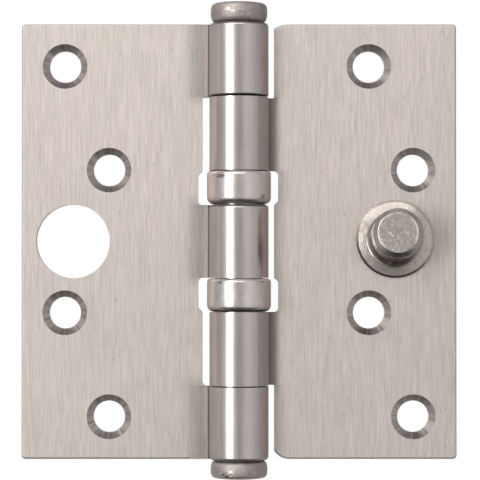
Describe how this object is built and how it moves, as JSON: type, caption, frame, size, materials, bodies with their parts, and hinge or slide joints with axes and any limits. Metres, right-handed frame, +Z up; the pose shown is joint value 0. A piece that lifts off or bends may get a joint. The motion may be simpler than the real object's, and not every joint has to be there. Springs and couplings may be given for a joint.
{
  "type": "ball bearing butt hinge",
  "caption": "Steel butt hinge opened flat, with rolled knuckles, ball bearing rings, button tips, staggered countersunk screw holes and a security stud.",
  "frame": {"origin": "on the pin axis, halfway up the leaves", "axes": "+Z up along the pin axis, +X from the pin to the door leaf's outer edge, +Y out of the leaves' backs, towards what they are screwed to"},
  "size_m": [0.089, 0.0167, 0.0974],
  "materials": {
    "leaf_steel": "satin, fine vertical brushing",
    "tip_steel": "satin, turned",
    "shell_steel": "polished",
    "stud_steel": "dull turned, mottled top",
    "bearing_steel": "ground"
  },
  "bodies": {
    "frame": {"frame_leaf": "leaf_steel", "hinge_pin": "tip_steel", "bottom_tip": "tip_steel", "upper_bearing_shell": "shell_steel", "upper_bearing_bottom_race": "bearing_steel", "lower_bearing_shell": "shell_steel", "lower_bearing_top_race": "bearing_steel"},
    "door": {"door_leaf": "leaf_steel", "security_stud": "stud_steel", "upper_bearing_top_race": "bearing_steel", "lower_bearing_bottom_race": "bearing_steel"},
    "upper_balls": {"upper_bearing_balls": "bearing_steel", "upper_bearing_cage": "bearing_steel"},
    "lower_balls": {"lower_bearing_balls": "bearing_steel", "lower_bearing_cage": "bearing_steel"}
  },
  "joints": [
    {"name": "door_swing", "type": "hinge", "parent": "frame", "child": "door", "pos_m": [0, 0, 0], "axis": [0, 0, -1], "range_deg": [-110, 180]},
    {"name": "upper_balls_roll", "type": "hinge", "parent": "frame", "child": "upper_balls", "pos_m": [0, 0, 0.01095], "axis": [0, 0, -1], "range_deg": [-55, 90]},
    {"name": "lower_balls_roll", "type": "hinge", "parent": "frame", "child": "lower_balls", "pos_m": [0, 0, -0.01095], "axis": [0, 0, -1], "range_deg": [-55, 90]}
  ],
  "couplings": [
    {"joint": "upper_balls_roll", "follows": "door_swing", "ratio": 0.5},
    {"joint": "lower_balls_roll", "follows": "door_swing", "ratio": 0.5}
  ]
}
